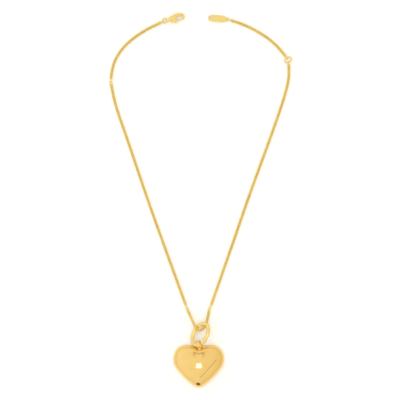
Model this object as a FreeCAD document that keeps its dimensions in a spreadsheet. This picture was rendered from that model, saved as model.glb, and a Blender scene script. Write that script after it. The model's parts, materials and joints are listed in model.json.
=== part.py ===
"""Pendant necklace: a puffed gold heart on an oval ring, a curb chain with a lobster clasp on its
left end, and on its right end an adjuster ring, an extension and a pierced end tag.

The necklace lies flat on the XY plane, +Z up, +Y from the heart's tip to the clasp, in millimetres.
The origin is the middle of the heart's flat back.
"""
import FreeCAD, Part
import math
import os

import Sketcher

VEC = FreeCAD.Vector
UP = VEC(0, 0, 1)
doc = FreeCAD.newDocument("pendant_necklace")

# ---------------------------------------------------------------- driving dimensions, millimetres
SIZES = [
    ("heartThick", 7.5),
    ("plateThick", 0.9),
    ("shellWall", 0.7),
    ("cleftDepth", 1.5),
    ("bailHole", 1.75),
    ("bailOuter", 2.5),
    ("bailWidth", 2.6),
    ("footRadius", 1.3),
    ("ringLong", 14.5),
    ("ringShort", 8.6),
    ("ringWire", 2.4),
    ("chainWidth", 1.9),
    ("chainLevel", 1.0),
    ("linkLong", 2.8),
    ("linkWire", 0.5),
    ("claspRingRadius", 1.5),
    ("claspRingWire", 0.7),
    ("adjusterLong", 4.6),
    ("adjusterShort", 3.2),
    ("adjusterWire", 0.8),
    ("claspThick", 2.2),
    ("claspFloor", 0.05),
    ("claspEyeHole", 0.6),
    ("leverThick", 1.0),
    ("slotGap", 0.1),
    ("pinRadius", 0.4),
    ("pinRunning", 0.05),
    ("springWire", 0.12),
    ("springRadius", 0.35),
    ("tagThick", 1.2),
    ("tagFloor", 0.05),
    ("tagLug", 0.6),
    ("tagEye", 0.6),
]
sheet = doc.addObject("Spreadsheet::Sheet", "Sizes")
for line, (alias, value) in enumerate(SIZES, start=1):
    sheet.set("A%d" % line, alias)
    sheet.set("B%d" % line, str(value))
    sheet.setAlias("B%d" % line, alias)
doc.recompute()


def size(alias):
    return float(getattr(sheet, alias))


subparts = []


def keep(piece, label):
    """Labels a sub-part, whose shape becomes the node of that name."""
    piece.Label = label
    subparts.append(piece)
    return piece


def feature(label, shape, placement=None):
    """A sub-part whose shape is made by Part's own functions."""
    piece = doc.addObject("Part::Feature", label)
    piece.Shape = shape
    if placement:
        piece.Placement = placement
    return keep(piece, label)


def flat(x, y):
    """A point at the height of the chain's middle."""
    return VEC(x, y, size("chainLevel"))


def unit(vector):
    out = VEC(vector)
    out.normalize()
    return out


def heading(degrees):
    """A level direction, counted from +X towards +Y."""
    angle = math.radians(degrees)
    return VEC(math.cos(angle), math.sin(angle), 0)


def axes(x_axis, z_axis, origin):
    """The placement with these X and Z directions and this origin."""
    turn = FreeCAD.Rotation(x_axis, z_axis.cross(x_axis), z_axis, "ZXY")
    return FreeCAD.Placement(origin, turn)


def sketch_in(body, name):
    """A new sketch on its own body's XY plane."""
    sketch = body.newObject("Sketcher::SketchObject", name)
    planes = [f for f in body.Origin.OriginFeatures if f.Role == "XY_Plane"]
    sketch.AttachmentSupport = [(planes[0], "")]
    sketch.MapMode = "FlatFace"
    return sketch


def close_up(sketch):
    """Joins each edge of a sketch to the next one, where their ends meet."""
    count = sketch.GeometryCount
    pairs = [(a, b) for a in (1, 2) for b in (1, 2)]
    for here in range(count):
        after = (here + 1) % count
        gaps = [(sketch.getPoint(here, a) - sketch.getPoint(after, b)).Length for a, b in pairs]
        a, b = pairs[gaps.index(min(gaps))]
        sketch.addConstraint(Sketcher.Constraint("Coincident", here, a, after, b))


# ---------------------------------------------------------------- heart
TIP = -14.6
# half of the outline, from the tip to the top of the right lobe: each arc's radius and turn
HEART_ARCS = [(5.0, 36), (50.0, 18), (9.8, 71), (7.6, 55)]
HEART_MIDDLE = VEC(0, -0.4, 0)


def heart_half():
    """Three points of each arc of the right half, from the tip to the cleft."""
    at, angle, arcs = VEC(0, TIP, 0), 0.0, []
    for radius, turn in HEART_ARCS:
        centre = at + heading(angle + 90) * radius
        middle = centre + heading(angle + turn / 2 - 90) * radius
        end = centre + heading(angle + turn - 90) * radius
        arcs.append((at, middle, end))
        at, angle = end, angle + turn
    depth = size("cleftDepth")
    radius = (at.x**2 + depth**2) / (2 * depth)
    centre = at - VEC(0, radius, 0)
    half = math.asin(at.x / radius) / 2
    middle = centre + VEC(-math.sin(half), math.cos(half), 0) * radius
    arcs.append((at, middle, VEC(0, at.y - depth, 0)))
    return arcs


def heart_wire(scale, level):
    """The whole outline shrunk towards the heart's middle, at one level."""

    def place(point, side):
        out = HEART_MIDDLE + (VEC(side * point.x, point.y, 0) - HEART_MIDDLE) * scale
        out.z = level
        return out

    right = [[place(p, 1) for p in arc] for arc in heart_half()]
    left = [[place(p, -1) for p in reversed(arc)] for arc in reversed(heart_half())]
    return Part.Wire([Part.Arc(*arc).toShape() for arc in right + left])


def dome(width, base, height):
    """A solid dome on the outline, width times as wide, rising from base by height."""
    steps = [0, 18, 36, 54, 70, 82]
    wires = []
    for step in steps:
        angle = math.radians(step)
        level = base + height * math.sin(angle) ** 0.9
        wires.append(heart_wire(width * math.cos(angle) ** 0.75, level))
    return Part.makeLoft(wires, True, False)


def heart_front():
    """The domed front, stamped thin and hollow behind."""
    plate, wall = size("plateThick"), size("shellWall")
    height = size("heartThick") - plate
    half_width = max(arc[1].x for arc in heart_half())
    outer = dome(1.0, plate, height)
    inner = dome(1.0 - wall / half_width, plate, height - wall)
    return feature("heart_front_shell", outer.cut(inner))


def heart_back():
    """The flat back plate, its outline drawn as arcs in one sketch."""
    body = doc.addObject("PartDesign::Body", "HeartBack")
    sketch = sketch_in(body, "HeartOutline")
    for edge in heart_wire(1.0, 0).Edges:
        sketch.addGeometry(edge.Curve.trim(*edge.ParameterRange), False)
    close_up(sketch)
    pad = body.newObject("PartDesign::Pad", "HeartPlate")
    pad.Profile = sketch
    pad.setExpression("Length", "Sizes.plateThick")
    return keep(body, "heart_back_plate")


# ---------------------------------------------------------------- oval ring and bail
RING_MIDDLE = VEC(1.0, 19.0, 3.4)
RING_LEAN = 61.0
RING_RISE = 2.9
RING_ROLL = 18.0
BAIL_AT = 142.0


def ring_frame():
    """Unit vectors along the ring's long and short axes: the top end and the right rim are raised."""
    rise = math.radians(RING_RISE)
    roll = math.radians(RING_ROLL)
    along = heading(RING_LEAN) * math.cos(rise) + UP * math.sin(rise)
    level = heading(RING_LEAN - 90)
    lifted = level * math.cos(roll) + along.cross(level) * -math.sin(roll)
    return along, lifted


def ring_point(degrees):
    """A point on the ring's middle line, and the line's direction there."""
    along, across = ring_frame()
    angle = math.radians(degrees)
    long_half, short_half = size("ringLong") / 2, size("ringShort") / 2
    point = RING_MIDDLE + along * long_half * math.cos(angle) + across * short_half * math.sin(angle)
    run = along * -long_half * math.sin(angle) + across * short_half * math.cos(angle)
    return point, unit(run)


def pipe(path, radius):
    """A round wire along a path."""
    edge = path.Edges[0]
    start = edge.valueAt(edge.FirstParameter)
    run = edge.tangentAt(edge.FirstParameter)
    profile = Part.Wire(Part.makeCircle(radius, start, run))
    return path.makePipeShell([profile], True, False)


def oval(long_size, short_size, wire, place):
    """A closed oval ring of round wire, lying in the placement's XY plane, long along its X."""
    ellipse = Part.Ellipse(VEC(0, 0, 0), long_size / 2, short_size / 2)
    solid = pipe(Part.Wire(ellipse.toShape()), wire / 2)
    solid.Placement = place
    return solid


def oval_ring():
    along, across = ring_frame()
    place = axes(along, along.cross(across) * -1, RING_MIDDLE)
    return feature("oval_ring", oval(size("ringLong"), size("ringShort"), size("ringWire"), place))


def heart_bail():
    """A short tube round the ring's wire, on a foot soldered to the heart's top edge."""
    point, run = ring_point(BAIL_AT)
    half = run * (size("bailWidth") / 2)
    band = doc.addObject("Part::Cylinder", "BailBand")
    band.setExpression("Radius", "Sizes.bailOuter")
    band.setExpression("Height", "Sizes.bailWidth")
    band.Placement = FreeCAD.Placement(point - half, FreeCAD.Rotation(UP, run))
    reach = point.y - 9.8
    foot = doc.addObject("Part::Cylinder", "BailFoot")
    foot.setExpression("Radius", "Sizes.footRadius")
    foot.Height = reach
    foot_start = VEC(point.x, point.y, 3.2)
    foot.Placement = FreeCAD.Placement(foot_start, FreeCAD.Rotation(UP, VEC(0, -1, 0)))
    solid = doc.addObject("Part::Fuse", "BailSolid")
    solid.Base, solid.Tool = band, foot
    hole = doc.addObject("Part::Cylinder", "BailHole")
    hole.setExpression("Radius", "Sizes.bailHole")
    hole.setExpression("Height", "Sizes.bailWidth * 3")
    hole.Placement = FreeCAD.Placement(point - half * 3, FreeCAD.Rotation(UP, run))
    bail = doc.addObject("Part::Cut", "Bail")
    bail.Base, bail.Tool = solid, hole
    return keep(bail, "heart_bail")


# ---------------------------------------------------------------- chain
# each route runs along the middle of the chain, from its first link to its last
LEFT_PIVOT = (-7.4, 35.0)
RIGHT_PIVOT = (7.0, 35.0)
SHOULDER_PIVOT = (-54.9, 176.0)
ROUTES = {
    "chain_middle": [
        (-6.8, 33.4, 1.0),
        (-4.7, 28.8, 2.2),
        (-2.7, 24.6, 4.4),
        (-0.6, 21.2, 5.0),
        (2.2, 21.5, 2.2),
        (4.7, 24.8, 1.0),
        (5.7, 29.4, 1.0),
        (6.39, 33.4, 1.0),
    ],
    "chain_left": [
        (-8.24, 37.25, 1.0),
        (-18.3, 64.6, 1.0),
        (-33.0, 105.6, 1.0),
        (-44.6, 140.4, 1.0),
        (-50.4, 156.6, 1.0),
        (-53.4, 167.2, 1.0),
        (-54.61, 174.3, 1.0),
    ],
    "chain_left_top": [
        (-54.82, 178.4, 1.0),
        (-54.3, 183.6, 1.0),
        (-52.4, 189.9, 1.0),
        (-48.4, 196.4, 1.0),
        (-42.2, 202.6, 1.0),
        (-34.6, 207.8, 1.0),
        (-28.6, 211.0, 1.0),
        (-23.83, 213.18, 1.0),
    ],
    "chain_right": [
        (7.86, 37.24, 1.0),
        (17.4, 64.4, 1.0),
        (31.4, 105.2, 1.0),
        (44.3, 140.3, 1.0),
        (50.2, 157.0, 1.0),
        (53.9, 168.4, 1.0),
        (56.0, 177.2, 1.0),
        (56.4, 182.2, 1.0),
        (56.2, 186.75, 1.0),
    ],
    "chain_extension": [
        (53.95, 192.35, 1.0),
        (51.3, 195.9, 1.0),
        (46.9, 200.6, 1.0),
        (40.6, 205.4, 1.0),
        (33.2, 209.6, 1.0),
        (26.6, 212.6, 1.0),
        (20.5, 214.5, 1.0),
    ],
}


def rounded_path(points):
    """Straight runs joined by tangent arcs, each as large as 0.45 of its shorter run allows."""
    points = [VEC(*p) for p in points]
    at, edges, radii = points[0], [], []
    for before, corner, after in zip(points, points[1:], points[2:]):
        into, out = unit(corner - before), unit(after - corner)
        turn = into.getAngle(out)
        cut = 0.45 * min((corner - before).Length, (after - corner).Length)
        start, end = corner - into * cut, corner + out * cut
        radius = cut / math.tan(turn / 2)
        bisector = unit(out - into)
        centre = corner + bisector * (radius / math.cos(turn / 2))
        middle = centre - bisector * radius
        edges.append(Part.LineSegment(at, start).toShape())
        edges.append(Part.Arc(start, middle, end).toShape())
        radii.append(radius)
        at = end
    edges.append(Part.LineSegment(at, points[-1]).toShape())
    return Part.Wire(edges), radii


def chain_tube(label):
    """One stretch of chain as a plain tube of the chain's width."""
    path, radii = rounded_path(ROUTES[label])
    radius = size("chainWidth") / 2
    solid = pipe(path, radius)
    ratio = solid.Volume / (math.pi * radius**2 * path.Length)
    print(label, "length %.1f" % path.Length, "volume ratio %.4f" % ratio)
    print("   radii", " ".join("%.1f" % r for r in radii))
    return feature(label, solid)


def link_solid(end, run, stands):
    """A link of round wire. end is the middle of the wire in its first end, run points along it."""
    wire = size("linkWire")
    outer_long, outer_wide = size("linkLong"), size("chainWidth")
    straight = outer_long - outer_wide
    bend = (outer_wide - wire) / 2
    side = VEC(0, bend, 0)
    first, last = VEC(bend, 0, 0), VEC(bend + straight, 0, 0)
    path = Part.Wire(
        [
            Part.LineSegment(first - side, last - side).toShape(),
            Part.Arc(last - side, last + VEC(bend, 0, 0), last + side).toShape(),
            Part.LineSegment(last + side, first + side).toShape(),
            Part.Arc(first + side, VEC(0, 0, 0), first - side).toShape(),
        ]
    )
    solid = pipe(path, wire / 2)
    normal = run.cross(UP) if stands else UP
    solid.Placement = axes(run, normal, end)
    return solid


def hinge_links(flat_name, standing_name, pivot, run_in, run_out):
    """Two links one through the other: the chain turns about the pivot, level, between them."""
    pivot = flat(*pivot)
    bend = (size("chainWidth") - size("linkWire")) / 2
    feature(flat_name, link_solid(pivot + run_in * bend, run_in * -1, False))
    feature(standing_name, link_solid(pivot, run_out, True))


def standing_link(name, on_wire, run, reach):
    """A link on edge round a ring's wire: reach is how far its end passes the wire's middle."""
    feature(name, link_solid(on_wire + run * reach, run * -1, True))


# ---------------------------------------------------------------- rings at the chain's ends
CLASP_RING_MIDDLE = (-21.2, 214.4)
CLASP_RING_RUN = 25.0
ADJUSTER_MIDDLE = (55.75, 189.9)
ADJUSTER_LEAN = 33.0
ADJUSTER_LOW = -107.0
ADJUSTER_HIGH = 93.0
LINK_REACH = 1.0


def clasp_ring():
    ring = doc.addObject("Part::Torus", "ClaspRing")
    ring.setExpression("Radius1", "Sizes.claspRingRadius")
    ring.setExpression("Radius2", "Sizes.claspRingWire / 2")
    ring.Placement = FreeCAD.Placement(flat(*CLASP_RING_MIDDLE), FreeCAD.Rotation())
    run = heading(CLASP_RING_RUN)
    on_wire = flat(*CLASP_RING_MIDDLE) - run * size("claspRingRadius")
    standing_link("clasp_end_link", on_wire, run, LINK_REACH)
    return keep(ring, "clasp_ring")


def adjuster_point(degrees):
    """A point on the adjuster ring's middle line."""
    angle = math.radians(degrees)
    along = heading(ADJUSTER_LEAN) * (size("adjusterLong") / 2 * math.cos(angle))
    across = heading(ADJUSTER_LEAN + 90) * (size("adjusterShort") / 2 * math.sin(angle))
    return flat(*ADJUSTER_MIDDLE) + along + across


def adjuster_ring():
    place = axes(heading(ADJUSTER_LEAN), UP, flat(*ADJUSTER_MIDDLE))
    lengths = size("adjusterLong"), size("adjusterShort"), size("adjusterWire")
    feature("adjuster_ring", oval(*lengths, place))
    standing_link("adjuster_lower_link", adjuster_point(ADJUSTER_LOW), heading(93), LINK_REACH)
    standing_link("adjuster_upper_link", adjuster_point(ADJUSTER_HIGH), heading(-53), LINK_REACH)


# ---------------------------------------------------------------- lobster clasp
CLASP_HEADING = 11.0
LEVER_PIVOT = (3.0, -0.7)


def clasp_place():
    """The clasp's own frame: the eye's middle, +X towards the hook."""
    eye = flat(*CLASP_RING_MIDDLE) + heading(CLASP_HEADING) * size("claspRingRadius")
    return FreeCAD.Placement(
        VEC(eye.x, eye.y, size("claspFloor")), FreeCAD.Rotation(UP, CLASP_HEADING)
    )


def outline(sketch, steps):
    """Draws a closed outline. A step is a corner, or a point on an arc and the arc's end."""
    at = VEC(*steps[-1][-2:], 0)
    for step in steps:
        end = VEC(*step[-2:], 0)
        if len(step) == 4:
            sketch.addGeometry(Part.Arc(at, VEC(*step[:2], 0), end), False)
        else:
            sketch.addGeometry(Part.LineSegment(at, end), False)
        at = end
    close_up(sketch)


def padded(name, steps, thickness, holes=()):
    """A body whose first feature is a pad of an outline with round holes, as thick as the cell."""
    body = doc.addObject("PartDesign::Body", name)
    sketch = sketch_in(body, name + "Outline")
    outline(sketch, steps)
    for x, y, radius in holes:
        sketch.addGeometry(Part.Circle(VEC(x, y, 0), UP, radius), False)
    pad = body.newObject("PartDesign::Pad", name + "Pad")
    pad.Profile = sketch
    pad.setExpression("Length", thickness)
    return body


def pocket(body, name, steps, low, high):
    """Cuts an outline out of a body, between two heights over its XY plane."""
    sketch = sketch_in(body, name + "Outline")
    sketch.setExpression("AttachmentOffset.Base.z", low)
    outline(sketch, steps)
    cut = body.newObject("PartDesign::Pocket", name)
    cut.Profile = sketch
    cut.Reversed = True
    cut.setExpression("Length", "%s - (%s)" % (high, low))


def clasp_body():
    """A hooked plate: eye at its tail, a slot for the lever, and an open mouth below the hook."""
    steps = [
        (-0.95, 0.6),
        (1.0, 0.6),
        (1.7, 1.6, 3.0, 2.0),
        (6.5, 2.9, 8.6, 2.7),
        (10.9, 1.6, 11.0, -0.3),
        (10.7, -1.3, 9.6, -1.7),
        (9.5, -0.9),
        (9.9, 0.3, 8.9, 1.1),
        (7.4, 1.3, 6.0, 0.6),
        (5.5, -1.75),
        (3.2, -2.1, 1.5, -1.5),
        (1.0, -0.6),
        (-0.95, -0.6),
    ]
    pin_hole = (*LEVER_PIVOT, size("pinRadius"))
    body = padded("ClaspBody", steps, "Sizes.claspThick", [pin_hole])
    slot = [(1.9, -2.6), (1.9, 0.6), (6.6, 0.6), (6.6, -2.6)]
    low = "(Sizes.claspThick - Sizes.leverThick) / 2 - Sizes.slotGap"
    high = "(Sizes.claspThick + Sizes.leverThick) / 2 + Sizes.slotGap"
    pocket(body, "LeverSlot", slot, low, high)
    body.Placement = clasp_place()
    doc.recompute()
    hole = doc.addObject("Part::Cylinder", "EyeHole")
    hole.setExpression("Radius", "Sizes.claspEyeHole")
    hole.Height = 4
    across = heading(CLASP_HEADING + 90)
    eye = flat(*CLASP_RING_MIDDLE) + heading(CLASP_HEADING) * size("claspRingRadius")
    hole.Placement = FreeCAD.Placement(eye - across * 2, FreeCAD.Rotation(UP, across))
    drilled = doc.addObject("Part::Cut", "DrilledClasp")
    drilled.Base, drilled.Tool = body, hole
    return keep(drilled, "clasp_body")


def clasp_lever():
    """The gate that closes the mouth, with the thumb tab that opens it."""
    steps = [
        (3.0, 0.1, 3.8, -0.4),
        (6.4, -0.95),
        (9.2, -1.05),
        (9.35, -1.6),
        (6.8, -1.75),
        (5.6, -2.3),
        (5.1, -3.0, 4.5, -2.5),
        (3.2, -1.5),
        (2.45, -1.3, 2.2, -0.7),
    ]
    hole = (*LEVER_PIVOT, size("pinRadius") + size("pinRunning"))
    body = padded("ClaspLever", steps, "Sizes.leverThick", [hole])
    place = clasp_place()
    place.Base.z += (size("claspThick") - size("leverThick")) / 2
    body.Placement = place
    return keep(body, "clasp_lever")


def clasp_pin():
    pin = doc.addObject("Part::Cylinder", "ClaspPin")
    pin.setExpression("Radius", "Sizes.pinRadius")
    pin.setExpression("Height", "Sizes.claspThick")
    pin.Placement = clasp_place().multiply(
        FreeCAD.Placement(VEC(*LEVER_PIVOT, 0), FreeCAD.Rotation())
    )
    return keep(pin, "clasp_pin")


def clasp_spring():
    """A little coil spring between the lever's back and the slot's roof."""
    foot, length = 0.62, 1.1
    radius, wire = size("springRadius"), size("springWire")
    helix = Part.makeHelix(length / 4, length - wire, radius)
    start = helix.Edges[0]
    point = start.valueAt(start.FirstParameter)
    profile = Part.Wire(Part.makeCircle(wire / 2, point, start.tangentAt(start.FirstParameter)))
    coil = Part.Wire(helix).makePipeShell([profile], True, True)
    spot = VEC(5.0, -foot + wire / 2, size("claspThick") / 2)
    inside = FreeCAD.Placement(spot, FreeCAD.Rotation(UP, VEC(0, 1, 0)))
    return feature("clasp_spring", coil, clasp_place().multiply(inside))


# ---------------------------------------------------------------- end tag
TAG_EYE_MIDDLE = (18.2, 215.2)
TAG_HEADING = 175.4


def end_tag():
    """A long pierced plate with a thin lug that hangs in the chain's last link."""
    steps = [
        (0.7, 1.2),
        (3.4, 2.15),
        (9.4, 2.15),
        (12.1, 1.45),
        (12.5, 0.0, 12.1, -1.45),
        (9.4, -2.15),
        (3.4, -2.15),
        (0.7, -1.2),
        (-0.75, -0.8),
        (-1.1, 0.0, -0.75, 0.8),
    ]
    body = padded("EndTag", steps, "Sizes.tagThick", [(0, 0, size("tagEye"))])
    slot = [
        (11.1, 0.6),
        (11.7, 0.0, 11.1, -0.6),
        (9.9, -0.6),
        (9.3, 0.0, 9.9, 0.6),
    ]
    pocket(body, "TagSlot", slot, "0", "Sizes.tagThick")
    lug = [(-2.0, 3.0), (1.8, 3.0), (1.8, -3.0), (-2.0, -3.0)]
    pocket(body, "LugStep", lug, "0", "Sizes.tagThick - Sizes.tagLug")
    x, y = TAG_EYE_MIDDLE
    turn = FreeCAD.Rotation(UP, TAG_HEADING)
    body.Placement = FreeCAD.Placement(VEC(x, y, size("tagFloor")), turn)
    feature("tag_end_link", link_solid(flat(x, y), heading(-16), True))
    return keep(body, "end_tag")


# ---------------------------------------------------------------- build, check and write
def main():
    heart_back()
    heart_front()
    heart_bail()
    oval_ring()
    for label in ROUTES:
        chain_tube(label)
    left_run = heading(110.5)
    hinge_links("left_lower_link", "left_upper_link", LEFT_PIVOT, left_run, left_run)
    right_run = heading(69)
    hinge_links("right_lower_link", "right_upper_link", RIGHT_PIVOT, right_run, right_run)
    hinge_links(
        "shoulder_lower_link", "shoulder_upper_link", SHOULDER_PIVOT, heading(99.7), heading(88)
    )
    clasp_ring()
    clasp_body()
    clasp_lever()
    clasp_pin()
    clasp_spring()
    adjuster_ring()
    end_tag()
    doc.recompute()
    for thing in doc.Objects:
        bad = [state for state in thing.State if state in ("Invalid", "Error")]
        if bad:
            raise SystemExit("%s: %s" % (thing.Label, bad))
    os.makedirs("parts", exist_ok=True)
    for piece in subparts:
        shape = piece.Shape
        if shape.isNull() or not shape.isValid() or not shape.Solids:
            raise SystemExit("bad shape: " + piece.Label)
        shape.exportStep("parts/%s.step" % piece.Label)
        box = shape.optimalBoundingBox(False)
        print("%-22s %d solid, volume %9.2f, z %.2f to %.2f" % (
            piece.Label, len(shape.Solids), shape.Volume, box.ZMin, box.ZMax))


main()
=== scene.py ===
# %% [markdown]
# # A heart pendant on a curb chain
# The necklace lies on a pale table and is seen from straight above. A puffed gold heart hangs from
# a large oval ring, and a fine curb chain runs through that ring. The chain ends in a lobster
# clasp on one side, and in an adjuster ring, a short extension and a pierced tag on the other.
# The frame already holds every joint and every size, so this lesson adds only what the eye sees:
# real links, a smooth dome, rounded castings and polished gold.

# %% Load the frame
import json
import math

import bmesh
import bpy
from mathutils import Matrix, Vector


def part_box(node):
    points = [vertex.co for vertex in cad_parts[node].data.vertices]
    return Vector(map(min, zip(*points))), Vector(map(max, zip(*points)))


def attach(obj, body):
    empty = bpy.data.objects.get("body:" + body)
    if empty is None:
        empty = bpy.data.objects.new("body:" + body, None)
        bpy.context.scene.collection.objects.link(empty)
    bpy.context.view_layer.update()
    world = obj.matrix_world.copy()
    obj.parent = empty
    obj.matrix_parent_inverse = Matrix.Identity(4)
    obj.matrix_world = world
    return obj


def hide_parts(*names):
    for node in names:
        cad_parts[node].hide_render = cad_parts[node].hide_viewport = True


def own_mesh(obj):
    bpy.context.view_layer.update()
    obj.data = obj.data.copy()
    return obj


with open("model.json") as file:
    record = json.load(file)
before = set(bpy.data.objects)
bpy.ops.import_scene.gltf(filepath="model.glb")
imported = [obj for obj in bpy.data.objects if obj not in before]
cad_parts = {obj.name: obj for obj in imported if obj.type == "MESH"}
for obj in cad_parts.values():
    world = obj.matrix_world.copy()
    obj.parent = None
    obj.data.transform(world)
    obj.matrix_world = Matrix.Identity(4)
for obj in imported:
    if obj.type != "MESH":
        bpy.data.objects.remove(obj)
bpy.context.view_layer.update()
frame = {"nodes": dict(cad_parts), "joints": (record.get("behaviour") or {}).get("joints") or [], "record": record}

MM = 0.001
scene = bpy.context.scene
UP = Vector((0, 0, 1))
joints = {joint["name"]: joint for joint in frame["joints"]}

# %% [markdown]
# ## The camera
# The necklace is flat, so the camera looks straight down. A long lens keeps the heart, which
# stands highest, from leaning outwards near the lower edge of the view.

# %% Camera
VIEW_WIDTH = 250 * MM
VIEW_MIDDLE = (0.75, 102.5)
SENSOR = 36.0
LENS = 100.0
camera = bpy.data.objects.new("camera", bpy.data.cameras.new("camera"))
camera.data.sensor_width = SENSOR
camera.data.lens = LENS
camera_height = VIEW_WIDTH * LENS / SENSOR
camera.location = (VIEW_MIDDLE[0] * MM, VIEW_MIDDLE[1] * MM, camera_height)
scene.collection.objects.link(camera)
scene.camera = camera
print("camera height: %.3f m" % camera_height)

# %% [markdown]
# ## Where the chain lies
# A chain is a cord made of links: it has a fixed length and lies in loose curves. Each stretch
# between two hinges is one smooth NURBS curve, drawn from the same control points as its CAD
# tube. Near its ends a stretch meets links that stand on edge, so it rises there a little, to the
# height of their middles. In between it lies as flat as a curb chain does.

# %% Routes
LEVEL = 1.0
LOW = 0.68
ROUTES = {
    "chain_middle": [
        (-6.8, 33.4, LEVEL),
        (-4.7, 28.8, 2.2),
        (-2.7, 24.6, 4.4),
        (-0.6, 21.2, 5.0),
        (2.2, 21.5, 2.2),
        (4.7, 24.8, LEVEL),
        (5.7, 29.4, LEVEL),
        (6.39, 33.4, LEVEL),
    ],
    "chain_left": [
        (-8.24, 37.25, LEVEL),
        (-18.3, 64.6, LOW),
        (-33.0, 105.6, LOW),
        (-44.6, 140.4, LOW),
        (-50.4, 156.6, LOW),
        (-53.4, 167.2, LOW),
        (-54.61, 174.3, LEVEL),
    ],
    "chain_left_top": [
        (-54.82, 178.4, LEVEL),
        (-54.3, 183.6, LOW),
        (-52.4, 189.9, LOW),
        (-48.4, 196.4, LOW),
        (-42.2, 202.6, LOW),
        (-34.6, 207.8, LOW),
        (-28.6, 211.0, LOW),
        (-23.83, 213.18, LEVEL),
    ],
    "chain_right": [
        (7.86, 37.24, LEVEL),
        (17.4, 64.4, LOW),
        (31.4, 105.2, LOW),
        (44.3, 140.3, LOW),
        (50.2, 157.0, LOW),
        (53.9, 168.4, LOW),
        (56.0, 177.2, LOW),
        (56.4, 182.2, LOW),
        (56.2, 186.75, LEVEL),
    ],
    "chain_extension": [
        (53.95, 192.35, LEVEL),
        (51.3, 195.9, LOW),
        (46.9, 200.6, LOW),
        (40.6, 205.4, LOW),
        (33.2, 209.6, LOW),
        (26.6, 212.6, LOW),
        (20.5, 214.5, LEVEL),
    ],
}


def smooth_line(route):
    """The points of a NURBS curve that a route's points control, in metres."""
    curve = bpy.data.curves.new("route", "CURVE")
    curve.dimensions = "3D"
    curve.resolution_u = 32
    spline = curve.splines.new("NURBS")
    spline.points.add(len(route) - 1)
    for control, place in zip(spline.points, route):
        control.co = (*(Vector(place) * MM), 1)
    spline.order_u = 3
    spline.use_endpoint_u = True
    holder = bpy.data.objects.new("route", curve)
    mesh = bpy.data.meshes.new_from_object(holder)
    line = [vertex.co.copy() for vertex in mesh.vertices]
    bpy.data.objects.remove(holder)
    bpy.data.meshes.remove(mesh)
    return line


def line_length(line):
    """The length of a line of points."""
    return sum((b - a).length for a, b in zip(line, line[1:]))


lines = {name: smooth_line(route) for name, route in ROUTES.items()}
for name, line in lines.items():
    print(name, "is %.1f mm long" % (line_length(line) / MM))

# %% [markdown]
# ## One curb link
# A curb link starts as a plain oval of round wire. When the finished chain is twisted and filed,
# each end of the oval turns by about an eighth of a turn, one each way, so that the links lie flat
# and close together. The same steps work here: spin a small circle into a ring, draw the ring out
# to an oval, then twist it about its length. It is repeated about three hundred times, so it has
# only a few dozen faces.

# %% Curb link
LINK_HALF_LONG = 1.02 * MM
LINK_HALF_WIDE = 0.67 * MM
LINK_WIRE_RADIUS = 0.34 * MM
LINK_TWIST = math.radians(46)
LINK_STEPS = 14
WIRE_SIDES = 6


def ring_mesh(half_long, half_wide, wire_radius, steps, sides):
    """A bmesh ring of round wire, drawn out to an oval along X, in the XY plane."""
    bm = bmesh.new()
    stand = Matrix.Translation((half_wide, 0, 0)) @ Matrix.Rotation(math.pi / 2, 4, "X")
    bmesh.ops.create_circle(bm, segments=sides, radius=wire_radius, matrix=stand)
    bmesh.ops.spin(
        bm,
        geom=bm.verts[:] + bm.edges[:],
        cent=(0, 0, 0),
        axis=UP,
        angle=math.tau,
        steps=steps,
        use_merge=True,
    )
    for vertex in bm.verts:
        across = Vector((vertex.co.x, vertex.co.y, 0)).normalized()
        vertex.co.x += across.x * (half_long - half_wide)
    bmesh.ops.recalc_face_normals(bm, faces=bm.faces)
    return bm


def curb_link():
    """The oval with its two ends twisted opposite ways about its length."""
    bm = ring_mesh(LINK_HALF_LONG, LINK_HALF_WIDE, LINK_WIRE_RADIUS, LINK_STEPS, WIRE_SIDES)
    for vertex in bm.verts:
        turn = Matrix.Rotation(LINK_TWIST * vertex.co.x / LINK_HALF_LONG, 3, "X")
        vertex.co = turn @ vertex.co
    return bm


link = curb_link()
link_mesh = bpy.data.meshes.new("curb_link")
link.to_mesh(link_mesh)
link.free()
print("one link has", len(link_mesh.polygons), "faces")

# %% [markdown]
# ## Laying the links
# The links are placed one pitch apart along each stretch, each turned to face along the line. The
# pitch is about the length of a link less two wires, because that is where one link's end stops
# inside the next. It is adjusted a little so that a stretch ends on a whole link.

# %% Chain stretches
PITCH = 1.4 * MM
END_GAP = 0.4 * MM
SOFT_EDGE = math.radians(40)
LINK_EDGE = math.radians(80)


def walk(line, distance):
    """The point at a distance along a line, and the line's direction there."""
    for a, b in zip(line, line[1:]):
        step = (b - a).length
        if distance <= step:
            break
        distance -= step
    run = (b - a).normalized()
    return a + run * min(distance, step), run


def facing(place, run):
    """A matrix that puts X along run and keeps Z as upright as it can be."""
    side = UP.cross(run).normalized()
    lift = run.cross(side)
    turn = Matrix((run, side, lift)).transposed().to_4x4()
    return Matrix.Translation(place) @ turn


def finished(name, bm, body, sharp=SOFT_EDGE):
    """Turns a bmesh into a smooth shaded piece that rides on a body."""
    mesh = bpy.data.meshes.new(name)
    bm.to_mesh(mesh)
    bm.free()
    mesh.polygons.foreach_set("use_smooth", [True] * len(mesh.polygons))
    mesh.set_sharp_from_angle(angle=sharp)
    piece = bpy.data.objects.new(name, mesh)
    scene.collection.objects.link(piece)
    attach(piece, body)
    return piece


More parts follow.
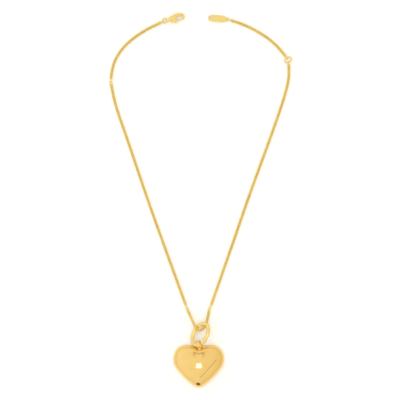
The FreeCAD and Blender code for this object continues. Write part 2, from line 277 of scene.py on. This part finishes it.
def chain_piece(name, body):
    """All the links of one stretch, as one piece."""
    line = lines[name]
    inside = line_length(line) - 2 * END_GAP
    count = round(inside / PITCH) + 1
    bm = bmesh.new()
    for number in range(count):
        place, run = walk(line, END_GAP + inside * number / (count - 1))
        first = len(bm.verts)
        bm.from_mesh(link_mesh)
        bm.verts.ensure_lookup_table()
        bmesh.ops.transform(bm, matrix=facing(place, run), verts=bm.verts[first:])
    piece = finished(name + "_links", bm, body, LINK_EDGE)
    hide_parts(name)
    print(name, "has", count, "links")
    return piece


STRETCHES = {
    "chain_middle": ("middle", "object", ["left_lower_link", "right_lower_link"]),
    "chain_left": ("left_side", "object", ["left_upper_link", "shoulder_lower_link"]),
    "chain_left_top": ("left_top", "fitting", ["shoulder_upper_link", "clasp_end_link"]),
    "chain_right": ("right_side", "object", ["right_upper_link", "adjuster_lower_link"]),
    "chain_extension": ("extension", "fitting", ["adjuster_upper_link", "tag_end_link"]),
}
chains = {}
for name, (body, far_end, ends) in STRETCHES.items():
    chains[name] = chain_piece(name, body)
    line = lines[name]
    max(line_length(line), 0.03)

# %% [markdown]
# ## Rings, smoothed
# The rings already have the right shape in the frame. A copy of each node is merged, because its
# triangles are loose, and then shaded smooth. The heart's flat back also gets a small bevel.

# %% Smoothed copies
NODE_BODY = {
    node: body for body, nodes in frame["record"]["behaviour"]["bodies"].items() for node in nodes
}
MERGE = 0.004 * MM
FLAT_ANGLE = math.radians(2)
CORNER_ANGLE = math.radians(35)
BACK_BEVEL = 0.22 * MM


def merged_copy(node):
    """A bmesh copy of a CAD node with its doubles merged."""
    bm = bmesh.new()
    bm.from_mesh(frame["nodes"][node].data)
    bmesh.ops.remove_doubles(bm, verts=bm.verts, dist=MERGE)
    return bm


def smooth_copy(node, edge=0.0):
    """A merged copy of a node. Its corners are bevelled where edge is more than nothing."""
    bm = merged_copy(node)
    if edge:
        bmesh.ops.dissolve_limit(bm, angle_limit=FLAT_ANGLE, verts=bm.verts, edges=bm.edges)
        corners = [e for e in bm.edges if e.is_manifold and e.calc_face_angle() > CORNER_ANGLE]
        bmesh.ops.bevel(
            bm,
            geom=corners,
            offset=edge,
            offset_type="OFFSET",
            affect="EDGES",
            segments=3,
            profile=0.5,
            material=-1,
            clamp_overlap=True,
        )
    piece = finished(node + "_polished", bm, NODE_BODY[node])
    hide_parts(node)
    print(node, "has", len(piece.data.polygons), "faces")
    return piece


oval_ring = smooth_copy("oval_ring")
clasp_ring = smooth_copy("clasp_ring")
adjuster_ring = smooth_copy("adjuster_ring")
heart_back = smooth_copy("heart_back_plate", BACK_BEVEL)

# %% [markdown]
# ## Castings, softened
# A lobster clasp and a tag are cast and then tumbled with stones until every edge is round. A
# bevel would stop at the first tight corner, so a copy of the piece is turned into a fine even
# mesh of voxels and relaxed a few times, which wears all of its edges away alike.

# %% Softened castings
CAST_EDGE = math.radians(75)
RELAX = 0.5


def softened(node, voxel, passes):
    """A voxel copy of a CAD node, with its edges worn round by passes of smoothing."""
    rough = bpy.data.meshes.new(node + "_rough")
    bm = merged_copy(node)
    bm.to_mesh(rough)
    bm.free()
    holder = bpy.data.objects.new(node + "_rough", rough)
    scene.collection.objects.link(holder)
    remesh = holder.modifiers.new("voxels", "REMESH")
    remesh.mode = "VOXEL"
    remesh.voxel_size = voxel
    graph = bpy.context.evaluated_depsgraph_get()
    even = bpy.data.meshes.new_from_object(holder.evaluated_get(graph))
    bpy.data.objects.remove(holder)
    bm = bmesh.new()
    bm.from_mesh(even)
    for _ in range(passes):
        bmesh.ops.smooth_vert(
            bm, verts=bm.verts, factor=RELAX, use_axis_x=True, use_axis_y=True, use_axis_z=True
        )
    piece = finished(node + "_cast", bm, NODE_BODY[node], CAST_EDGE)
    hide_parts(node)
    print(node, "has", len(piece.data.polygons), "faces")
    return piece


clasp_body = softened("clasp_body", voxel=0.1 * MM, passes=45)
clasp_lever = softened("clasp_lever", voxel=0.07 * MM, passes=8)
end_tag = softened("end_tag", voxel=0.09 * MM, passes=24)

# %% [markdown]
# ## The clasp's spring
# A little coil pushes the lever shut. When the lever opens, the coil is pressed together between
# the lever and the body. Here it is a smoothed copy with a mesh of its own.


def heading(degrees):
    """A level direction, turned from +X."""
    angle = math.radians(degrees)
    return Vector((math.cos(angle), math.sin(angle), 0))


clasp_spring = smooth_copy("clasp_spring")
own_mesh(clasp_spring)

# %% [markdown]
# ## The heart's outline
# A heart drawn with a compass: a small arc at the tip, a long gentle one up the side, and two
# round ones over the lobe, all meeting without a corner. Only where the two lobes meet is there a
# shallow notch. A ring of vertices is laid along those arcs.

# %% Heart outline
TIP = -14.6 * MM
HEART_ARCS = [(5.0, 36), (50.0, 18), (9.8, 71), (7.6, 55)]
CLEFT_DEPTH = 1.5 * MM
HEART_MIDDLE = Vector((0, -0.4 * MM, 0))
HALF_TURN = 180
POINTS_PER_MM = 1.6


def heart_half(points_per_mm):
    """Points from the tip up the right side to the notch, evenly spaced along the arcs."""
    arcs = [(radius * MM, turn) for radius, turn in HEART_ARCS]
    at, angle, points = Vector((0, TIP, 0)), 0.0, []
    while arcs:
        radius, turn = arcs.pop(0)
        centre = at + heading(angle + 90) * radius
        count = max(2, round(radius / MM * math.radians(turn) * points_per_mm))
        for number in range(count):
            points.append(centre + heading(angle + turn * number / count - 90) * radius)
        at, angle = centre + heading(angle + turn - 90) * radius, angle + turn
        if not arcs and angle <= HALF_TURN:
            last = (at.x**2 + CLEFT_DEPTH**2) / (2 * CLEFT_DEPTH)
            arcs.append((last, math.degrees(math.asin(at.x / last))))
    points.append(Vector((0, at.y, 0)))
    return points


half = heart_half(POINTS_PER_MM)
outline = half + [Vector((-p.x, p.y, 0)) for p in reversed(half[1:-1])]
print("outline: %d points, %.1f mm wide" % (len(outline), 2 * max(p.x for p in outline) / MM))

# %% [markdown]
# ## The puffed front
# The front is stamped from thin sheet, so it is a dome on the heart's outline. Each step lifts
# the rim a little, draws it inwards and makes it rounder, so the notch fades out before the top.
# The last ring closes on one point. The sheet's thickness comes from Solidify.

# %% Heart front
PLATE_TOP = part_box("heart_back_plate")[1].z
HEART_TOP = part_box("heart_front_shell")[1].z
DOME_STEPS = 26
ROUND_RADIUS = (14.2 * MM, 12.2 * MM)
ROUNDING = 1.6
FULLNESS = 0.86
GROOVE_EDGE_ANGLE = math.radians(24)
SHEET = 0.6 * MM
TINY = 0.01 * MM


def dome_point(start, angle):
    """Where a point of the outline comes to, at an angle from the rim towards the top."""
    out = start - HEART_MIDDLE
    direction = out.normalized()
    rounder = direction.x * ROUND_RADIUS[0], direction.y * ROUND_RADIUS[1]
    fade = math.sin(angle) ** ROUNDING
    reach = out.length * (1 - fade) + math.hypot(*rounder) * fade
    place = HEART_MIDDLE + direction * reach * max(0.0, math.cos(angle)) ** FULLNESS
    place.z = PLATE_TOP + (HEART_TOP - PLATE_TOP) * math.sin(angle)
    return place


def heart_dome():
    """Extrudes the outline's edge loop upwards ring by ring and closes it at the top."""
    bm = bmesh.new()
    start_of = bm.verts.layers.int.new("start")
    ring = bmesh.ops.create_circle(bm, segments=len(outline), radius=10 * MM)["verts"]
    for number, vertex in enumerate(ring):
        vertex[start_of] = number
        vertex.co = dome_point(outline[number], 0)
    edges = bm.edges[:]
    for step in range(1, DOME_STEPS + 1):
        angle = math.pi / 2 * step / DOME_STEPS
        grown = bmesh.ops.extrude_edge_only(bm, edges=edges)["geom"]
        ring = {item for item in grown if isinstance(item, bmesh.types.BMVert)}
        edges = [item for item in grown if isinstance(item, bmesh.types.BMEdge)]
        edges = [edge for edge in edges if ring.issuperset(edge.verts)]
        for vertex in ring:
            vertex.co = dome_point(outline[vertex[start_of]], angle)
    bmesh.ops.remove_doubles(bm, verts=list(ring), dist=TINY)
    bmesh.ops.recalc_face_normals(bm, faces=bm.faces)
    if sum(face.normal.z for face in bm.faces) < 0:
        bmesh.ops.reverse_faces(bm, faces=bm.faces)
    return bm


dome = heart_dome()
print("dome:", len(dome.faces), "faces")

# %% [markdown]
# ## One engraved line
# A fine diagonal line is cut into the right side of the dome. Five cuts across the mesh, close
# together, give the groove its two lips and its bottom, and the bottom is then pushed in. A real
# cut like this catches the light from every side, which a painted line doesn't.

# %% Engraved line
GROOVE_TOP = Vector((10.9, 3.3, 0)) * MM
GROOVE_END = Vector((0.9, -7.6, 0)) * MM
GROOVE_HALF_WIDTH = 0.22 * MM
GROOVE_DEPTH = 0.16 * MM
CUTS = (-2.5, -1, 0, 1, 2.5)
FRONT_FACING = 0.3
GROOVE_REACH = 2 * MM
GROOVE_MARGIN = 1 * MM
CUT_TOLERANCE = 0.001 * MM


def engrave(bm, start, end):
    """Cuts a shallow V groove into the top of a mesh, between two points seen from above."""
    run = (end - start).normalized()
    side = UP.cross(run)

    def near(item):
        middle = item.calc_center_median()
        along = (middle - start).dot(run)
        beside = abs((middle - start).dot(side)) < GROOVE_REACH
        return beside and -GROOVE_MARGIN < along < (end - start).length + GROOVE_MARGIN

    for offset in CUTS:
        faces = [face for face in bm.faces if face.normal.z > FRONT_FACING and near(face)]
        edges = {edge for face in faces for edge in face.edges}
        verts = {vertex for face in faces for vertex in face.verts}
        bmesh.ops.bisect_plane(
            bm,
            geom=list(verts) + list(edges) + faces,
            plane_co=start + side * offset * GROOVE_HALF_WIDTH,
            plane_no=side,
            dist=CUT_TOLERANCE,
        )
    bm.normal_update()
    for vertex in bm.verts:
        off = vertex.co - start
        along = off.dot(run)
        if vertex.normal.z > FRONT_FACING and abs(off.dot(side)) < TINY:
            if 0 < along < (end - start).length:
                vertex.co -= vertex.normal * GROOVE_DEPTH


engrave(dome, GROOVE_TOP, GROOVE_END)
heart_front = finished("heart_front", dome, "heart", GROOVE_EDGE_ANGLE)
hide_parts("heart_front_shell")
wall = heart_front.modifiers.new("sheet", "SOLIDIFY")
wall.thickness = SHEET
wall.offset = -1
print("engraved front:", len(heart_front.data.polygons), "faces before its wall")

# %% [markdown]
# ## The bail
# The bail is a short tube round the oval ring's wire. It is wider where it is soldered to the
# heart than at its top, as a bent strip with tapered ends is. A small rounded section is spun
# round the ring's wire, then spread along the wire on the heart's side, and a foot joins it on.

# %% Bail
BAIL_MIDDLE = Vector(joints["heart_swing"]["pos_m"])
BAIL_RUN = Vector(joints["heart_swing"]["axis"]).normalized()
BAIL_RADIUS = 2.12 * MM
BAIL_HALF_WALL = 0.4 * MM
BAIL_HALF_WIDTH = 1.3 * MM
BAIL_FLARE = 0.2
BAIL_SQUARENESS = 0.75
FOOT_LENGTH = 1.9 * MM
FOOT_RADII = (1.15 * MM, 1.7 * MM)
FOOT_DROP = 0.9 * MM
FOOT_OVERLAP = 0.2 * MM
BAIL_SECTION_SIDES = 24
BAIL_STEPS = 48
FOOT_SIDES = 32
BAIL_EDGE = math.radians(60)


def bail_piece():
    """The band round the wire, and its foot on the heart's edge."""
    bm = bmesh.new()
    out = (UP - BAIL_RUN * BAIL_RUN.z).normalized()
    section = bmesh.ops.create_circle(bm, segments=BAIL_SECTION_SIDES, radius=1)["verts"]
    for vertex in section:
        along, thick = [math.copysign(abs(c) ** BAIL_SQUARENESS, c) for c in vertex.co.xy]
        vertex.co = BAIL_MIDDLE + BAIL_RUN * along * BAIL_HALF_WIDTH
        vertex.co += out * (BAIL_RADIUS + thick * BAIL_HALF_WALL)
    bmesh.ops.spin(
        bm,
        geom=bm.verts[:] + bm.edges[:],
        cent=BAIL_MIDDLE,
        axis=BAIL_RUN,
        angle=math.tau,
        steps=BAIL_STEPS,
        use_merge=True,
    )
    for vertex in bm.verts:
        off = vertex.co - BAIL_MIDDLE
        spread = -BAIL_FLARE * off.y / BAIL_RADIUS
        vertex.co += BAIL_RUN * off.dot(BAIL_RUN) * spread
    below = BAIL_RADIUS + FOOT_LENGTH / 2 - FOOT_OVERLAP
    foot_middle = BAIL_MIDDLE + Vector((0, -below, -FOOT_DROP))
    stand = Matrix.Translation(foot_middle) @ Matrix.Rotation(math.pi / 2, 4, "X")
    bmesh.ops.create_cone(
        bm,
        cap_ends=True,
        segments=FOOT_SIDES,
        radius1=FOOT_RADII[0],
        radius2=FOOT_RADII[1],
        depth=FOOT_LENGTH,
        matrix=stand,
    )
    bmesh.ops.recalc_face_normals(bm, faces=bm.faces)
    piece = finished("heart_bail_band", bm, "heart", BAIL_EDGE)
    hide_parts("heart_bail")
    return piece


heart_bail = bail_piece()
print("bail:", len(heart_bail.data.polygons), "faces")

# %% [markdown]
# ## Shader maths
# A material is easier to read as a formula than as a web of nodes. The class below wraps a
# socket, so that a * b or 1 - a adds the Math node it stands for, and one method adds any other
# node from its type, its settings and the values of its sockets.

# %% Shader helper
class Shade:
    """A socket in a material's node tree that takes part in Python expressions."""

    def __init__(self, tree, socket=None):
        self.tree = tree
        self.socket = socket

    def node(self, kind, settings=None, out=0, **inputs):
        """Adds a node. Settings are set first, and then its sockets' values or links."""
        made = self.tree.nodes.new(kind)
        for key, value in (settings or {}).items():
            setattr(made, key, value)
        for key, value in inputs.items():
            target = made.inputs[int(key[1:])] if key[1:].isdigit() else made.inputs[key]
            self.fill(target, value)
        return Shade(self.tree, made.outputs[out])

    def fill(self, target, value):
        """Links a socket to a Shade, or gives it a plain value."""
        if isinstance(value, Shade):
            self.tree.links.new(value.socket, target)
        else:
            target.default_value = value

    def maths(self, operation, first, second):
        """Adds one Math node on two values."""
        return self.node("ShaderNodeMath", {"operation": operation}, _0=first, _1=second)

    def __add__(self, other):
        return self.maths("ADD", self, other)

    def __radd__(self, other):
        return self.maths("ADD", other, self)

    def __sub__(self, other):
        return self.maths("SUBTRACT", self, other)

    def __rsub__(self, other):
        return self.maths("SUBTRACT", other, self)

    def __mul__(self, other):
        return self.maths("MULTIPLY", self, other)

    def __rmul__(self, other):
        return self.maths("MULTIPLY", other, self)

    def dot(self, direction):
        """How far this vector reaches along a direction."""
        settings = {"operation": "DOT_PRODUCT"}
        return self.node("ShaderNodeVectorMath", settings, out=1, _0=self, _1=tuple(direction))

    def band(self, low, high):
        """0 below low, 1 above high, and a straight ramp between them."""
        ends = {"From Min": low, "From Max": high}
        return self.node("ShaderNodeMapRange", {"clamp": True}, Value=self, **ends)

    def mix_colour(self, first, second):
        """The first colour where this is 0, the second where it is 1."""
        return self.node(
            "ShaderNodeMix", {"data_type": "RGBA"}, out=2, _0=self, _6=first, _7=second
        )


# %% [markdown]
# ## Polished gold
# Gold plate is a metal, so its colour is the colour of its reflections. What makes it look real is
# what polishing leaves: a mirror that is not quite even, hair-fine scratches that cross each
# other, and a slightly redder tone where the buff never reaches. Each finish is the same formula
# with its own strengths: the heart is smoothest, the chain and the castings are a little duller.

# %% Gold
ENGRAVED = (0.50, 0.30, 0.09, 1)
ENGRAVED_STRENGTH = 0.6
LINE_HALF_WIDTH_SQUARED = (0.02, 0.07)
LINE_TAPER = 0.2


def engraved(place):
    """1 on the engraved line and 0 beside it, from a place in metres."""
    run = GROOVE_END - GROOVE_TOP
    length = run.length / MM
    run = run.normalized() / MM
    side = UP.cross(run)
    across = place.dot(side) - GROOVE_TOP.dot(side)
    along = place.dot(run) - GROOVE_TOP.dot(run)
    ends = along.band(0, LINE_TAPER) * (1 - along.band(length - LINE_TAPER, length))
    line = 1 - (across * across).band(*LINE_HALF_WIDTH_SQUARED)
    return line * ends * ENGRAVED_STRENGTH


CLOUD = {"Scale": 180.0, "Detail": 3.0}
HAIR = {"Scale": 700.0, "Detail": 2.0}
CROSS_HAIR = {"Scale": 600.0, "Detail": 2.0}
LONG_GRAIN = {"Rotation": (0, 0, 0.7), "Scale": (1, 14, 1)}
CROSS_GRAIN = {"Rotation": (0, 0, -0.5), "Scale": (12, 1, 1)}
TONE_ROUGHNESS = 0.04
SCRATCH_DEPTH = 0.05
BUMP = {"Strength": 0.2, "Distance": 0.0004}


def gold(name, colour, deep, roughness, waves, scratches, line=None):
    """A polished gold plate. Waves and scratches are the depths of the polish's two patterns."""
    material = bpy.data.materials.new(name)
    material.use_nodes = True
    tree = material.node_tree
    surface = tree.nodes["Principled BSDF"]
    start = Shade(tree)
    place = start.node("ShaderNodeTexCoord", out=3)
    cloud = start.node("ShaderNodeTexNoise", Vector=place, **CLOUD)
    long_grain = start.node("ShaderNodeMapping", Vector=place, **LONG_GRAIN)
    cross_grain = start.node("ShaderNodeMapping", Vector=place, **CROSS_GRAIN)
    hair = start.node("ShaderNodeTexNoise", Vector=long_grain, **HAIR)
    hair_across = start.node("ShaderNodeTexNoise", Vector=cross_grain, **CROSS_HAIR)
    marks = hair.band(0.62, 0.72) * 0.5 + hair_across.band(0.64, 0.74) * 0.5
    tone = cloud.band(0.35, 0.75)
    surface.inputs["Metallic"].default_value = 1.0
    shade = tone.mix_colour(colour, deep)
    if line:
        shade = engraved(place).mix_colour(shade, line)
    start.fill(surface.inputs["Base Color"], shade)
    dullness = roughness + tone * TONE_ROUGHNESS + marks * scratches
    start.fill(surface.inputs["Roughness"], dullness)
    height = cloud * waves + marks * (scratches * SCRATCH_DEPTH)
    bump = start.node("ShaderNodeBump", Height=height, **BUMP)
    start.fill(surface.inputs["Normal"], bump)
    return material


HEART_GOLD = gold(
    "heart_gold",
    colour=(0.92, 0.64, 0.23, 1),
    deep=(0.89, 0.60, 0.20, 1),
    roughness=0.07,
    waves=0.25,
    scratches=0.06,
    line=ENGRAVED,
)
CHAIN_GOLD = gold(
    "chain_gold",
    colour=(0.95, 0.75, 0.24, 1),
    deep=(0.88, 0.67, 0.18, 1),
    roughness=0.2,
    waves=0.3,
    scratches=0.08,
)
FINDINGS_GOLD = gold(
    "findings_gold",
    colour=(0.94, 0.73, 0.28, 1),
    deep=(0.87, 0.65, 0.22, 1),
    roughness=0.12,
    waves=0.3,
    scratches=0.08,
)


def wear(material, *pieces):
    """Puts one material on some pieces, in place of any that they had."""
    for piece in pieces:
        piece.data.materials.clear()
        piece.data.materials.append(material)
    print(material.name, "is on", len(pieces), "pieces")


wear(HEART_GOLD, heart_front, heart_back, heart_bail)
wear(CHAIN_GOLD, *chains.values())
wear(FINDINGS_GOLD, oval_ring, clasp_ring, adjuster_ring, clasp_body, clasp_lever, end_tag)
wear(FINDINGS_GOLD, frame["nodes"]["clasp_pin"])
LINK_NODES = [node for node in frame["nodes"] if node.endswith("_link")]
wear(CHAIN_GOLD, *[frame["nodes"][node] for node in LINK_NODES])

# %% [markdown]
# ## Spring steel
# The coil is hidden inside the clasp, and is the one piece that isn't gold: it is hard drawn wire.
# Drawing leaves long streaks, so one fine noise changes both its tone and its polish.

# %% Spring steel
BRIGHT_STEEL = (0.62, 0.62, 0.63, 1)
STREAKED_STEEL = (0.42, 0.42, 0.43, 1)
STREAK_SCALE = 4000.0
STEEL_ROUGHNESS = 0.2


def spring_steel():
    """Bright drawn wire, a little darker where the drawing left streaks."""
    material = bpy.data.materials.new("spring_steel")
    material.use_nodes = True
    tree = material.node_tree
    surface = tree.nodes["Principled BSDF"]
    start = Shade(tree)
    place = start.node("ShaderNodeTexCoord", out=3)
    streaks = start.node("ShaderNodeTexNoise", Vector=place, Scale=STREAK_SCALE, Detail=2.0)
    colour = streaks.mix_colour(BRIGHT_STEEL, STREAKED_STEEL)
    start.fill(surface.inputs["Base Color"], colour)
    start.fill(surface.inputs["Roughness"], STEEL_ROUGHNESS + streaks * STEEL_ROUGHNESS)
    surface.inputs["Metallic"].default_value = 1.0
    return material


wear(spring_steel(), clasp_spring)

# %% [markdown]
# ## The table and the light
# Polished metal is lit by what it reflects. A pale table and a pale room give the gold its body,
# and one small softbox, high above the heart and a little in front of it, gives the bright
# square at the top of the dome.

# %% Table and softbox
TABLE_HALF_WIDTH = 3.0
TABLE_GLOW = 0.18
TABLE_ROUGHNESS = 0.9
TABLE_COLOUR = (0.93, 0.93, 0.93, 1)
WHITE = (1, 1, 1, 1)


def table():
    """A plain pale table top, lit a little from inside so that it stays white."""
    bm = bmesh.new()
    bmesh.ops.create_grid(bm, x_segments=1, y_segments=1, size=TABLE_HALF_WIDTH)
    mesh = bpy.data.meshes.new("table")
    bm.to_mesh(mesh)
    bm.free()
    piece = bpy.data.objects.new("table", mesh)
    scene.collection.objects.link(piece)
    material = bpy.data.materials.new("pale_table")
    material.use_nodes = True
    surface = material.node_tree.nodes["Principled BSDF"]
    surface.inputs["Base Color"].default_value = TABLE_COLOUR
    surface.inputs["Roughness"].default_value = TABLE_ROUGHNESS
    surface.inputs["Emission Color"].default_value = WHITE
    surface.inputs["Emission Strength"].default_value = TABLE_GLOW
    piece.data.materials.append(material)


def softbox(name, place, target, width, length, power):
    """A flat rectangular lamp that faces a point."""
    lamp = bpy.data.lights.new(name, "AREA")
    lamp.shape = "RECTANGLE"
    lamp.size = width
    lamp.size_y = length
    lamp.energy = power
    holder = bpy.data.objects.new(name, lamp)
    holder.location = place
    holder.rotation_euler = (Vector(place) - Vector(target)).to_track_quat("Z", "Y").to_euler()
    scene.collection.objects.link(holder)
    print(name, "lamp: %.2f W" % power)


table()
softbox("overhead", (-0.001, -0.10, 0.80), (0, 0, 0), width=0.085, length=0.11, power=0.12)

# %% [markdown]
# ## The room
# A room that is white all round makes gold look like paint. This one is a formula on the
# direction of a ray: cool and bright on the left, warm and dimmer on the right, browner down at
# the skirting, with a dark doorway in front and a faint hoop high up towards the back. The
# doorway shows as the dark spot near the heart's tip, and the hoop as the small arch above the
# highlight.

# %% Room
ROOM_LEFT = (1.07, 1.07, 1.09, 1)
ROOM_RIGHT = (0.94, 0.89, 0.76, 1)
ROOM_DARK = (0.20, 0.14, 0.05, 1)
ROOM_BROWN = (0.42, 0.32, 0.26, 1)
SIDE_REACH = 0.85
SKIRTING_HEIGHT = 0.5
SKIRTING_STRENGTH = 0.3
DOORWAY_MIDDLE = (-0.05, 0.16)
DOORWAY_HALF = (0.2, 0.26)
DOORWAY_EDGE = (0.6, 1.1)
DOORWAY_FRONT = (-0.6, -0.4)
HOOP_BACK = 0.36
HOOP_HEIGHT = 0.42
HOOP_NARROWNESS = 10
HOOP_TAPER = 5
HOOP_INNER = (0.35, 0.55)
HOOP_OUTER = (0.95, 1.2)
HOOP_FEET = (-0.2, 0.2)
HOOP_STRENGTH = 0.55
HORIZON = (0, 0.2)


def room():
    """The world's colour, from the way a ray points: across, towards the back, and up."""
    world = bpy.data.worlds.new("room")
    scene.world = world
    world.use_nodes = True
    tree = world.node_tree
    start = Shade(tree)
    where = start.node("ShaderNodeTexCoord", out=0)
    across, back, up = where.dot((1, 0, 0)), where.dot((0, 1, 0)), where.dot((0, 0, 1))
    colour = across.band(-SIDE_REACH, SIDE_REACH).mix_colour(ROOM_LEFT, ROOM_RIGHT)
    skirting = 1 - up.band(0, SKIRTING_HEIGHT)
    colour = (skirting * SKIRTING_STRENGTH).mix_colour(colour, ROOM_BROWN)
    wide = (across - DOORWAY_MIDDLE[0]) * (1 / DOORWAY_HALF[0])
    high = (up - DOORWAY_MIDDLE[1]) * (1 / DOORWAY_HALF[1])
    oval = wide * wide + high * high
    doorway = (1 - oval.band(*DOORWAY_EDGE)) * (1 - back.band(*DOORWAY_FRONT))
    colour = doorway.mix_colour(colour, ROOM_DARK)
    wide = across * (HOOP_NARROWNESS - back * HOOP_TAPER)
    high = (back - HOOP_BACK) * (1 / HOOP_HEIGHT)
    ring = wide * wide + high * high
    hoop = ring.band(*HOOP_INNER) * (1 - ring.band(*HOOP_OUTER)) * high.band(*HOOP_FEET)
    colour = (hoop * up.band(*HORIZON) * HOOP_STRENGTH).mix_colour(colour, ROOM_BROWN)
    start.fill(tree.nodes["Background"].inputs["Color"], colour)
    tree.nodes["Background"].inputs["Strength"].default_value = 1.0
    print("room:", len(tree.nodes), "nodes")


room()
scene.view_settings.view_transform = "Standard"
